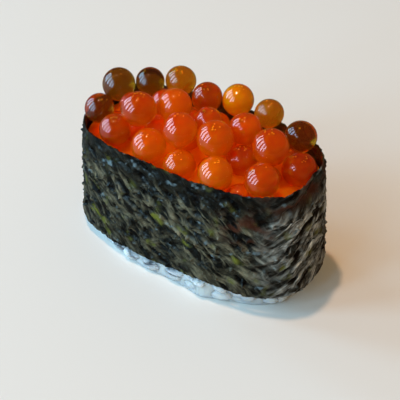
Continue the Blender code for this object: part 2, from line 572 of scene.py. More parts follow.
@dataclass(frozen=True)
class NoriFinish:
    """Pressed seaweed: black-green, with pale strands, see-through green spots and wet glints, and
    painted light: bluish-white glints, a reddish-brown glow and a paler +X end.
    """

    dark: Colour = (0.001, 0.0012, 0.001)
    body: Colour = (0.008, 0.008, 0.005)
    # painted light: the +X end, which the window light doesn't reach, gets a paler body and
    # near-white strands as a painted sheen
    end_body_painted_light: Colour = (0.050, 0.048, 0.036)
    strand: Colour = (0.27, 0.225, 0.135)
    end_strand_painted_sheen: Colour = (0.95, 0.97, 0.90)
    green: Colour = (0.15, 0.15, 0.018)
    # painted glow: a reddish-brown tint near the rim at the +X end and on the front near that end
    warm: Colour = (0.085, 0.020, 0.008)
    # painted highlight: the colour of the small bluish-white glints painted on the sheet
    painted_glint: Colour = (0.13, 0.18, 0.20)
    roughness: tuple[float, float] = (0.26, 0.55)
    wet_roughness: float = 0.12
    shine: float = 0.15  # how much the dry sheet mirrors
    relief: float = 0.22 * MM
    # Strands, by their direction in degrees above the sheet's length, length and width.
    front_strands: tuple = ((30, 8 * MM, 2.1 * MM), (50, 6 * MM, 1.1 * MM))
    end_strands: tuple = ((-24, 8 * MM, 1.9 * MM), (-40, 6 * MM, 1.0 * MM))
    cross_strands: tuple = ((-16, 5 * MM, 1.5 * MM),)

    def streaks(self, sketch: Sketch, along: NodeSocket,
                strands: tuple) -> NodeSocket:
        """Places some of the shared strands in the material, and returns their mask."""
        masks = [
            sketch.add("ShaderNodeGroup", {"node_tree": strand_group()}, Vector=along,
                       Turn=math.radians(turn), Length=length, Width=width).outputs["Strands"]
            for turn, length, width in strands
        ]
        return masks[0] if len(masks) == 1 else sketch.maths("MAXIMUM", *masks)

    def material(self, name: str) -> Material:
        """The finish as a material, which follows the sheet's own map and attributes.

        Args:
            name: The material's name.

        Returns:
            The material.
        """
        material, sketch = blank_material(name)
        along = sketch.add("ShaderNodeUVMap", {"uv_map": "sheet"}).outputs[0]
        coarse, fine = mottled(sketch, along, 420.0, 0.6)
        spots, _ = mottled(sketch, along, 900.0, 0.75)
        turned = sketch.attribute("turned")
        wet = sketch.attribute("wet")
        blend = sketch.add("ShaderNodeMix", {"data_type": "FLOAT"})
        front = self.streaks(sketch, along, self.front_strands)
        end = self.streaks(sketch, along, self.end_strands)
        for place, value in ((0, turned), (2, front), (3, end)):
            sketch.feed(blend.inputs[place], value)
        across = self.streaks(sketch, along, self.cross_strands)
        strands = sketch.maths("MAXIMUM", blend.outputs[0], sketch.maths("MULTIPLY", across, 0.6))

        ridge = sketch.ranged(sketch.attribute("ridge"), 0, 0.8, 0.3, 1.2)
        bundle = sketch.maths("MULTIPLY", strands, sketch.ranged(coarse, 0.1, 0.9, 0.15, 1.1))
        bundle = sketch.maths("MULTIPLY", bundle, ridge)
        dried = sketch.maths("MULTIPLY", bundle, sketch.ranged(wet, 0, 1, 1.0, 0.12))
        # painted light: towards the +X end the body and the strands turn to their paler
        # painted-light colours
        colour = sketch.mix(fine, self.dark, sketch.mix(turned, self.body, self.end_body_painted_light))
        colour = sketch.mix(dried, colour, sketch.mix(turned, self.strand, self.end_strand_painted_sheen))
        # the warm mark is a painted reddish-brown glow
        for mark, tint in (("green", self.green), ("warm", self.warm), ("pit", self.dark),
                           ("painted_glint", self.painted_glint)):
            colour = sketch.mix(sketch.attribute(mark), colour, tint)
        rough = sketch.ranged(fine, 0, 1, *self.roughness)
        film = sketch.ranged(spots, 0.5, 0.8)
        film = sketch.maths("MULTIPLY", film, sketch.ranged(wet, 0, 1, 0.4, 1.0))
        height = sketch.maths("ADD", spots, sketch.maths("MULTIPLY", strands, 0.6))
        bump = sketch.bump(height, 0.6, self.relief)
        shader = sketch.add(
            "ShaderNodeBsdfPrincipled", Base_Color=colour, Roughness=rough, Normal=bump, IOR=1.5,
            Specular_IOR_Level=self.shine, Coat_Weight=film, Coat_Normal=bump,
            Coat_Roughness=self.wet_roughness,
        )
        sketch.add("ShaderNodeOutputMaterial", Surface=shader.outputs[0])
        return material


@dataclass(frozen=True)
class NoriLining:
    """The sheet's inner side, olive-brown where light comes through it."""

    dark: Colour = (0.012, 0.008, 0.004)
    lit: Colour = (0.040, 0.026, 0.009)
    roughness: float = 0.4
    relief: float = 0.15 * MM

    def material(self) -> Material:
        """The finish as a material.

        Returns:
            The material.
        """
        material, sketch = blank_material("nori_lining")
        along = sketch.add("ShaderNodeUVMap", {"uv_map": "sheet"}).outputs[0]
        coarse, fine = mottled(sketch, along, 500.0, 0.75)
        colour = sketch.mix(coarse, self.dark, self.lit)
        shader = sketch.add("ShaderNodeBsdfPrincipled", Base_Color=colour,
                            Normal=sketch.bump(fine, 0.5, self.relief), Roughness=self.roughness)
        sketch.add("ShaderNodeOutputMaterial", Surface=shader.outputs[0])
        return material


@dataclass(frozen=True)
class FibreLayer:
    """Fibres that run one way over the sheet."""

    angle: float  # in degrees above the sheet's length
    length: float
    width: float
    seed: float
    sharpness: float = 2.4

    def at(self, u: float, v: float) -> float:
        """How much of a fibre lies at a place on the flat sheet, from 0 to 1."""
        place = flow(u, v, self.angle, self.length, self.width)
        return clamp(1 - abs(noise.noise(Vector((*place, self.seed)))) * self.sharpness) ** 2


@dataclass(frozen=True)
class Cloud:
    """Soft noise over the flat sheet: how fine it is for each millimetre, and where it starts."""

    fineness: float
    start: tuple[float, float, float] = (0.0, 0.0, 0.0)

    def at(self, spot: Vector) -> float:
        """Its value at a place in millimetres, from about -1 to 1."""
        return noise.noise(spot * self.fineness + Vector(self.start))


@dataclass
class NoriBand:
    """The strip of nori wound round the rice, its outer end lapped over at the back."""

    oval: Oval
    bottom: float = 3.4 * MM
    top: float = 28.4 * MM
    bottom_slope: float = 0.034
    top_slope: float = 0.05
    flare: float = 0.085
    cad_sheet: float = 0.5 * MM  # the thickness of the solid that this stands for
    sheet: float = 0.26 * MM
    lap_start: float = 0.20
    lap_end: float = 0.31
    lap_gap: float = 0.10 * MM
    lap_run: float = 0.06  # the share over which the outer end climbs on to the inner one
    arch: float = 0.7 * MM  # how far the front's lower edge rises,
    arch_at: float = 10.0  # where along it, in millimetres,
    arch_reach: float = 5.0  # and how far to each side
    hang: float = 0.7 * MM  # how far that edge hangs at the -X end
    ripple: float = 0.35 * MM
    ripple_length: float = 8.0 * MM
    fray: float = 0.22 * MM
    fray_length: float = 2.2 * MM
    fold_start: Vector = fixed(26.0, 2.0, 28.6, MM)
    fold_end: Vector = fixed(25.0, -6.8, 25.3, MM)
    fold_depth: float = 0.8 * MM
    fold_reach: float = 1.6 * MM
    hollow_flow: tuple[float, float] = (-36, 27)  # degrees, in front and at the +X end
    hollow_size: tuple[float, float] = (3.8 * MM, 1.3 * MM)
    fibre_relief: float = 0.24  # what each kind of relief adds, in millimetres
    hollow_relief: float = -0.28
    swell_relief: float = 0.22
    crumb_relief: float = 0.45
    tuft_relief: float = 0.30
    sunk: float = 0.14  # how far in the whole face lies, to make up for the rest
    swell: Cloud = Cloud(0.36, (31.0, 3.0, 8.0))
    crumb: Cloud = Cloud(0.95, (8.0, 61.0, 2.0))
    tuft: Cloud = Cloud(1.7, (0.0, 0.0, 17.0))
    damp: Cloud = Cloud(0.3, (2.0, 40.0, 5.0))
    patch: Cloud = Cloud(0.6)
    painted_glow_breakup: Cloud = Cloud(0.35)
    painted_glow_spot: tuple[float, float] = (19.0, 21.0)  # where the front has a painted reddish-brown glow: along and up, in mm
    columns: int = 560
    rows: int = 78
    finish: NoriFinish = field(default_factory=NoriFinish)
    lining: NoriLining = field(default_factory=NoriLining)
    layers: tuple[FibreLayer, ...] = (
        FibreLayer(-36, 8.0 * MM, 1.3 * MM, 1.7),
        FibreLayer(-28, 6.0 * MM, 0.9 * MM, 5.1),
        FibreLayer(-47, 7.0 * MM, 1.1 * MM, 9.4),
    )
    end_layers: tuple[FibreLayer, ...] = (
        FibreLayer(24, 8.0 * MM, 1.3 * MM, 3.3),
        FibreLayer(38, 6.0 * MM, 0.9 * MM, 7.9),
        FibreLayer(12, 7.0 * MM, 1.1 * MM, 12.2),
    )

    def fold(self, place: Vector) -> float:
        """The depth of the crease.

        Args:
            place: The place on the band.

        Returns:
            The depth there.
        """
        run = self.fold_end - self.fold_start
        along = clamp((place - self.fold_start).dot(run) / run.length_squared)
        away = (place - self.fold_start - run * along).length
        return self.fold_depth * math.exp(-((away / self.fold_reach) ** 2))

    def place(self, station: Station, height: float, offset: float) -> Vector:
        """A place on the sheet: height 0 is its lower edge and 1 its rim, and offset is outwards.

        Args:
            station: Where on the way round.
            height: The share of the sheet's height.
            offset: The distance out from the solid wall's middle.

        Returns:
            The place.
        """
        widened = station.point * (1 + self.flare * (1 - height))
        front = smooth_step(-2 * MM, 10 * MM, -widened.y)
        drawn_up = self.arch * math.exp(-((widened.x / MM - self.arch_at) / self.arch_reach) ** 2)
        hanging = self.hang * smooth_step(8 * MM, 18 * MM, -widened.x)
        lower = self.bottom + self.bottom_slope * widened.x + (drawn_up - hanging) * front
        upper = self.top + self.top_slope * widened.x
        level = Vector((0, 0, lower + (upper - lower) * height))
        edge = abs(2 * height - 1) ** 4
        fray = noise.noise((widened + level * 3) / self.fray_length) * self.fray * edge
        ripple = noise.noise((widened + level * 0.5) / self.ripple_length) * self.ripple
        out = offset + ripple - self.fold(widened + level)
        return widened + station.outward * out + level + Vector((0, 0, fray))

    def climb(self, share: float) -> float:
        """How far the sheet's outer end stands off, where it laps over the inner one."""
        start = 1 + self.lap_start
        return (self.sheet + self.lap_gap) * smooth_step(start - self.lap_run, start, share)

    def hollow(self, u: float, v: float, at_end: float) -> float:
        """How deep in a hollow between the strands a place lies, from 0 to 1.

        Args:
            u: The distance along the sheet.
            v: The height on it.
            at_end: How far the flow has turned to that of the +X end, from 0 to 1.

        Returns:
            The depth.
        """
        depth = 0.0
        for share, degrees in zip((1 - at_end, at_end), self.hollow_flow):
            if share > 0:
                along, across = flow(u, v, degrees, *self.hollow_size)
                value = noise.noise(Vector((along, across, 5.5 + degrees)))
                value += 0.5 * noise.noise(Vector((along * 2.3, across * 2.1, degrees)))
                depth += share * smooth_step(0.14, 0.5, value)
        return depth

    def fibres(self, u: float, v: float, at_end: float) -> tuple[float, float]:
        """The strongest fibre at a place, and how many cross there.

        Args:
            u: The distance along the sheet.
            v: The height on it.
            at_end: How far the flow has turned to that of the +X end, from 0 to 1.

        Returns:
            The strongest fibre and the sum of all of them.
        """
        warp = Vector((u, v, 0)) / (4.5 * MM)
        du = noise.noise(warp) * 1.6 * MM
        dv = noise.noise(warp + Vector((9, 4, 2))) * 1.1 * MM
        front = [layer.at(u + du, v + dv) for layer in self.layers] if at_end < 1 else [0] * 3
        end = [layer.at(u + du, v + dv) for layer in self.end_layers] if at_end > 0 else [0] * 3
        blend = [f * (1 - at_end) + e * at_end for f, e in zip(front, end)]
        return max(blend), sum(blend)

    def relief(self, spot: Vector, crossing: float, pit: float) -> float:
        """How far the sheet's outer face stands out in millimetres, for its fibres and pits."""
        crumb = smooth_step(0.46, 0.62, self.crumb.at(spot))
        return (self.fibre_relief * crossing + self.hollow_relief * pit
                + self.swell_relief * self.swell.at(spot) + self.crumb_relief * crumb - self.sunk)

    def looks(self, spot: Vector, height: float, place: Vector, at_end: float,
              pit: float, ridge: float) -> dict[str, float]:
        """How much of each look a place on the sheet has.

        Args:
            spot: The place on the flat sheet, in millimetres.
            height: The share of the sheet's height.
            place: The place on the wound sheet.
            at_end: How far the flow has turned to that of the +X end, from 0 to 1.
            pit: How deep in a hollow it lies, from 0 to 1.
            ridge: The strongest fibre there.

        Returns:
            Each look's share, from 0 to 1, by the name of its attribute.
        """
        damp = self.damp.at(spot)
        green = smooth_step(0.20, 0.48, damp) * smooth_step(-0.3, 0.5, self.patch.at(spot))
        green *= 1 - 0.65 * smooth_step(0.45, 0.70, height)
        # painted highlights: where the bluish-white glints are painted, more of them near the rim
        painted_glint_noise = noise.noise(Vector((spot.x * 0.34 + 77, spot.y * 0.55 + 5, 3)))
        painted_glint_noise += 0.30 * noise.noise(spot * 1.3) - 0.12 * smooth_step(0.88, 0.72, height)
        # painted glow: reddish-brown near the rim at the +X end and in a spot on the front, broken
        # up by soft noise
        along, up = self.painted_glow_spot
        away = Vector((place.x / MM - along, (place.z / MM - up) * 1.3)).length / 4.5
        painted_glow_spot = math.exp(-away * away) if place.y < 0 else 0.0
        warm = max(smooth_step(0.78, 0.93, height) * at_end, painted_glow_spot)
        warm *= smooth_step(-0.2, 0.3, self.painted_glow_breakup.at(spot))
        return {
            "pit": pit,
            "green": green * (1 - pit),
            "warm": warm * (1 - pit),
            "wet": smooth_step(0.68, 0.86, height + 0.16 * damp),
            # turned also places the painted sheen of the +X end
            "turned": at_end,
            "ridge": ridge * (0.6 + 0.4 * smooth_step(0.1, 0.5, height)),
            "painted_glint": smooth_step(0.42, 0.62, painted_glint_noise) * (1 - pit),
        }

    def build(self) -> Object:
        """Models the sheet: a flat grid, wound round the oval, given its relief and thickness.

        Returns:
            The finished piece.
        """
        bpy.ops.mesh.primitive_grid_add(x_subdivisions=self.columns, y_subdivisions=self.rows,
                                        size=1)
        band = new_piece("nori_band")
        way_round = self.oval.perimeter()
        first, last = self.lap_start, 1 + self.lap_end
        shares = [first + (last - first) * i / self.columns for i in range(self.columns + 1)]
        stations = self.oval.stations(shares)
        painted: dict[str, list[float]] = {}
        flat = []
        for vertex in band.data.vertices:
            column = round((vertex.co.x + 0.5) * self.columns)
            height = vertex.co.y + 0.5
            station = stations[column]
            u = station.share * way_round
            v = height * (self.top - self.bottom)
            turn = station.share % 1.0
            at_end = clamp(smooth_step(0.885, 0.955, turn) + 1 - smooth_step(0.03, 0.12, turn))
            ridge, crossing = self.fibres(u, v, at_end)
            spot = Vector((u, v, 0)) / MM
            pit = self.hollow(u, v, at_end)
            edge = abs(2 * height - 1) ** 10
            relief = self.relief(spot, crossing, pit) * (1 - 0.5 * edge)
            offset = self.cad_sheet / 2 - 0.05 * MM + relief * MM
            place = self.place(station, height, offset + self.climb(station.share))
            tuft = self.tuft.at(spot) * self.tuft_relief * MM * edge
            vertex.co = place + Vector((0, 0, tuft))
            for name, share in self.looks(spot, height, place, at_end, pit, ridge).items():
                painted.setdefault(name, []).append(share)
            flat.append((u, v))
        for name, values in painted.items():
            paint(band, name, values)
        sheet_map = band.data.uv_layers[0]
        sheet_map.name = "sheet"
        for loop in band.data.loops:
            sheet_map.data[loop.index].uv = flat[loop.vertex_index]
        for finish in (self.finish.material("nori_sheet"), self.lining.material()):
            band.data.materials.append(finish)
        apply_modifier(band, "SOLIDIFY", thickness=self.sheet, offset=-1.0, use_rim=True,
                       material_offset=1)
        return smooth(band, 55)

    def make(self) -> Object:
        """Builds and dresses the band, and sets it on the frame.

        Returns:
            The band.
        """
        band = self.build()
        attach(band, "root")
        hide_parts("nori")
        return band


# ---------------------------------------------------------------- the rice


@dataclass(frozen=True)
class RiceFinish:
    """Cooked short-grain rice: milky and moist, a little see-through at its edges."""

    colour: Colour = (0.71, 0.74, 0.72)
    shade: Colour = (0.64, 0.68, 0.66)
    roughness: tuple[float, float] = (0.32, 0.50)
    depth: float = 4.2 * MM  # how far the red of the light goes into it
    spread: Colour = (1.0, 0.9, 0.75)  # and how far each colour does, as a share of that
    relief: float = 0.1 * MM

    def material(self, name: str) -> Material:
        """The finish as a material.

        Args:
            name: The material's name.

        Returns:
            The material.
        """
        material, sketch = blank_material(name)
        coarse, fine = mottled(sketch, sketch.coordinates(), 260.0, 0.6)
        shader = sketch.add(
            "ShaderNodeBsdfPrincipled", Base_Color=sketch.mix(coarse, self.shade, self.colour),
            Roughness=sketch.ranged(fine, 0, 1, *self.roughness), IOR=1.42,
            Normal=sketch.bump(fine, 0.25, self.relief), Subsurface_Weight=1.0,
            Subsurface_Radius=self.spread, Subsurface_Scale=self.depth,
        )
        sketch.add("ShaderNodeOutputMaterial", Surface=shader.outputs[0])
        return material


@dataclass
class RiceBlock:
    """The block of rice in the band, with the grains that show at its foot."""

    band: NoriBand
    reach: float = 0.7 * MM
    recess: float = 3.2 * MM
    top: float = 19.5 * MM
    bulge: float = 0.7 * MM  # how far the foot swells in front,
    bulge_at: float = 9.5  # where along it, in millimetres,
    bulge_reach: float = 2.6  # and how far to each side
    tuck: float = 0.8 * MM  # how far in from the sheet's middle the rice behind it stays
    foot_inset: float = 0.42 * MM  # how far the core stays inside the grains at its foot,
    shoulder_inset: float = 0.65 * MM  # at its shoulder,
    top_inset: float = 1.1 * MM  # and inside the sheet at its top
    clearance: float = 0.35 * MM  # how far its shoulder stays under the grains' room
    sides: int = 120
    shoulder: float = -0.72  # where the core's drum is cut, from -1 at its foot to 1
    neck: float = -0.45
    grain: Vector = fixed(2.9, 1.75, 1.6, MM)
    courses: tuple[int, int] = (26, 28)  # how many grains lie in each, from the foot up
    seed: int = 11
    finish: RiceFinish = field(default_factory=RiceFinish)

    def foot(self, station: Station, inset: float) -> Vector:
        """A place on the foot's outline, which draws in at both ends.

        Args:
            station: Where on the way round.
            inset: How far inside the outline.

        Returns:
            The place, at the table's level.
        """
        reach = self.reach - self.recess * (station.point.x / self.band.oval.half_length) ** 2
        if station.point.y < 0:
            away = (station.point.x / MM - self.bulge_at) / self.bulge_reach
            reach += self.bulge * math.exp(-away ** 2)
        place = self.band.place(station, 0, reach - inset)
        return Vector((place.x, place.y, 0))

    def headroom(self, station: Station) -> float:
        """The level of the band's lower edge, less the room that a grain keeps to it."""
        return self.band.place(station, 0, 0).z - 0.25 * MM

    def core(self) -> Object:
        """Models the block under the grains: a drum, drawn to the oval and rounded.

        Returns:
            The core.
        """
        core = drum("rice_core", self.sides)
        with editing(core):
            bpy.ops.mesh.select_all(action="DESELECT")
        for polygon in core.data.polygons:
            polygon.select = abs(polygon.normal.z) > 0.5
        with editing(core):
            bpy.ops.mesh.inset(thickness=0.12)
        for cut in (self.shoulder, self.neck):
            with editing(core):
                bpy.ops.mesh.select_all(action="SELECT")
                bpy.ops.mesh.bisect(plane_co=(0, 0, cut), plane_no=(0, 0, 1))
        stations = self.band.oval.round_trip(self.sides)
        for vertex in core.data.vertices:
            station, spread = spoke(vertex.co, stations)
            if vertex.co.z < self.shoulder - 0.1:
                place, level = self.foot(station, self.foot_inset), 0.15 * MM
            elif vertex.co.z < self.neck - 0.1:
                place = self.foot(station, self.shoulder_inset)
                level = self.headroom(station) - self.clearance
            elif vertex.co.z < self.neck + 0.1:
                place, level = self.band.place(station, 0, -self.tuck), self.headroom(station)
            else:
                place, level = self.band.place(station, 0.6, -self.top_inset), self.top
            vertex.co = Vector((place.x * spread, place.y * spread, level))
        apply_modifier(core, "BEVEL", width=0.3 * MM, segments=2, limit_method="ANGLE")
        return core

    def master_grain(self) -> Object:
        """Models one grain, a long rounded body that is a little bent and thinner at one end.

        Returns:
            The grain, along X in the middle.
        """
        bpy.ops.mesh.primitive_uv_sphere_add(segments=14, ring_count=10, radius=1)
        grain = new_piece("rice_grain")
        resize(grain, 1.0, 0.96, 0.92)
        for vertex in grain.data.vertices:
            x = vertex.co.x
            fullness = (1 - abs(x) ** 2.6) ** 0.38 / max(1e-6, (1 - x * x) ** 0.5)
            slim = min(1.0, fullness) * (1 - 0.1 * x)
            vertex.co.y = vertex.co.y * slim + 0.16 * x * x
            vertex.co.z *= slim
        return grain

    def grains(self) -> Object:
        """Lays grains round the foot, in two courses, each turned its own way.

        Returns:
            The grains as one piece.
        """
        chance = random.Random(self.seed)
        master = self.master_grain()
        laid = []
        for course, count in enumerate(self.courses):
            shift = course * 0.5 / count
            steps = [i + chance.uniform(-0.18, 0.18) for i in range(count)]
            shares = sorted(step / count % 1.0 + shift for step in steps)
            for station in self.band.oval.stations(shares):
                sizes = self.grain * chance.uniform(0.86, 1.1)
                roof = self.headroom(station)
                out = math.atan2(station.outward.y, station.outward.x)
                swing = math.pi / 2 + chance.uniform(-0.6, 0.6)
                reach = math.hypot(sizes.x * math.cos(swing), sizes.y * math.sin(swing))
                centre = self.foot(station, reach - chance.uniform(0.0, 0.5) * MM)
                centre.z = sizes.z * 0.98
                if course > 0:
                    centre.z = roof - sizes.z * chance.uniform(0.1, 0.5)
                roll, pitch = chance.uniform(0, 2 * math.pi), chance.uniform(-0.18, 0.18)
                turn = Euler((roll, pitch, out + swing))
                shape = Matrix.Diagonal((*sizes, 1))
                place = Matrix.Translation(centre) @ turn.to_matrix().to_4x4() @ shape
                laid.append(placed_copy(master, place))
        piece = joined("rice_grains", master, laid)
        for vertex in piece.data.vertices:
            vertex.co.z = max(vertex.co.z, 0.02 * MM)
        self.tuck_in(piece)
        return smooth(piece)

    def tuck_in(self, piece: Object) -> None:
        """Draws the grains in behind the sheet where they rise to its lower edge.

        Args:
            piece: The laid grains.
        """
        stations = self.band.oval.round_trip(720)
        edges = [self.band.place(station, 0, 0) for station in stations]
        nearest = KDTree(len(edges))
        for index, edge in enumerate(edges):
            nearest.insert((edge.x, edge.y, 0), index)
        nearest.balance()
        for vertex in piece.data.vertices:
            place = Vector((vertex.co.x, vertex.co.y, 0))
            index = nearest.find(place)[1]
            edge, outward = edges[index], stations[index].outward
            past = (place - Vector((edge.x, edge.y, 0))).dot(outward) + self.tuck
            if past > 0:
                rise = smooth_step(-0.75 * MM, -0.35 * MM, vertex.co.z - edge.z)
                vertex.co -= outward * past * rise

    def make(self) -> list[Object]:
        """Builds and dresses the rice, and sets it on the frame.

        Returns:
            The core and the grains.
        """
        pieces = [self.core(), self.grains()]
        for piece in pieces:
            piece.data.materials.append(self.finish.material(piece.name))
            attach(piece, "root")
            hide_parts("rice")
        return pieces


# ---------------------------------------------------------------- the roe


class Row(Enum):
    """Where in the heap an egg lies."""

    FRONT = "front"
    CROWN = "crown"
    BACK = "back"
    TUCKED = "tucked"


@dataclass
class Egg:
    """One egg: its centre, its radius, where it lies, how ripe and cloudy it is, and how much
    painted shade darkens it.
    """

    centre: Vector
    radius: float
    row: Row
    ripeness: float = 1.0
    painted_dimness: float = 0.0
    cloud: float = 0.5


@dataclass(frozen=True)
class EggFinish:
    """Salmon egg: a clear, wet skin over orange jelly."""

    amber: Colour = (1.0, 0.72, 0.09)
    ripe: Colour = (1.0, 0.54, 0.05)
    painted_room_shade: Colour = (0.38, 0.30, 0.38)  # painted shade: the tint that darkens an egg with the dark room behind it
    jelly: Colour = (0.992, 0.78, 0.10)  # what is left of the light, deep inside
    density: float = 170.0
    roughness: float = 0.01
    skin: float = 1.36  # its refractive index
    film: float = 1.44  # and that of the wet film over it
    relief: float = 0.2 * MM

    def material(self, name: str) -> Material:
        """The finish as a material, whose shadows let the lamps through.

        Args:
            name: The material's name.

        Returns:
            The material.
        """
        material, sketch = blank_material(name)
        coarse, _ = mottled(sketch, sketch.coordinates(), 240.0, 0.7)
        colour = sketch.mix(sketch.attribute("ripeness"), self.amber, self.ripe)
        colour = sketch.mix(sketch.ranged(coarse, 0, 1, 0, 0.25), colour, self.amber)
        # painted shade: eggs marked dim are darkened toward the tint of the dark room behind them
        dim = sketch.mix(sketch.attribute("painted_dimness"), (1.0, 1.0, 1.0), self.painted_room_shade)
        colour = sketch.mix(1.0, colour, dim, "MULTIPLY")
        shader = sketch.add(
            "ShaderNodeBsdfPrincipled", Base_Color=colour, Roughness=self.roughness,
            Normal=sketch.bump(coarse, 0.05, self.relief), Transmission_Weight=1.0, IOR=self.skin,
            Coat_Weight=1.0, Coat_Roughness=self.roughness, Coat_IOR=self.film,
        )
        lit = sketch.add("ShaderNodeBsdfTransparent", Color=colour)
        shade = sketch.add("ShaderNodeMixShader")
        sketch.feed(shade.inputs[0], sketch.add("ShaderNodeLightPath").outputs["Is Shadow Ray"])
        sketch.feed(shade.inputs[1], shader.outputs[0])
        sketch.feed(shade.inputs[2], lit.outputs[0])
        depth = sketch.add("ShaderNodeVolumeAbsorption", Color=self.jelly, Density=self.density)
        sketch.add("ShaderNodeOutputMaterial", Surface=shade.outputs[0], Volume=depth.outputs[0])
        return material


@dataclass(frozen=True)
class JellyFinish:
    """Cloudy orange jelly, lit through: what fills the eggs, and the roe deep in the heap."""

    colour: Colour = (0.54, 0.100, 0.002)
    # painted shade: the darker jelly colour of eggs marked dim
    far: Colour = (1.0, 0.38, 0.006)  # its colour where light that went through it gathers
    deep: Colour = (0.26, 0.036, 0.002)
    amber: Colour = (1.0, 0.50, 0.010)
    far_side: Vector = fixed(0.72, 0.30, -0.62)
    roughness: float = 0.3
    shine: float = 0.1  # how much its surface mirrors
    depth: float = 3.2 * MM  # how far the red of the light goes into it
    spread: Colour = (1.0, 0.3, 0.05)  # and how far each colour does, as a share of that
    cloudy: bool = False  # whether each egg's own attributes say how clear and ripe it is

    def material(self, name: str) -> Material:
        """The finish as a material.

        Args:
            name: The material's name.

        Returns:
            The material.
        """
        material, sketch = blank_material(name)
        coarse, _ = mottled(sketch, sketch.coordinates(), 260.0, 0.6)
        facing = sketch.add("ShaderNodeVectorMath", {"operation": "DOT_PRODUCT"})
        sketch.feed(facing.inputs[0], sketch.add("ShaderNodeNewGeometry").outputs["Normal"])
        facing.inputs[1].default_value = self.far_side.normalized()
        gathered = sketch.ranged(facing.outputs["Value"], -0.8, 0.55)
        wisps = sketch.maths("MULTIPLY", sketch.maths("SUBTRACT", coarse, 0.5), 0.3)
        colour = sketch.mix(sketch.maths("ADD", gathered, wisps), self.colour, self.far)
        if self.cloudy:
            unripe = sketch.maths("SUBTRACT", 1.0, sketch.attribute("ripeness"))
            colour = sketch.mix(sketch.maths("MULTIPLY", unripe, 0.8), colour, self.amber)
            # painted shade: the jelly of eggs marked dim is darkened
            colour = sketch.mix(sketch.attribute("painted_dimness"), colour, self.deep)
        shader = sketch.add(
            "ShaderNodeBsdfPrincipled", Base_Color=colour, Roughness=self.roughness,
            Specular_IOR_Level=self.shine, Subsurface_Weight=1.0, Subsurface_Radius=self.spread,
            Subsurface_Scale=self.depth,
        )
        if self.cloudy:
            sketch.feed(shader.inputs["Alpha"], sketch.attribute("cloud"))
        sketch.add("ShaderNodeOutputMaterial", Surface=shader.outputs[0])
        return material


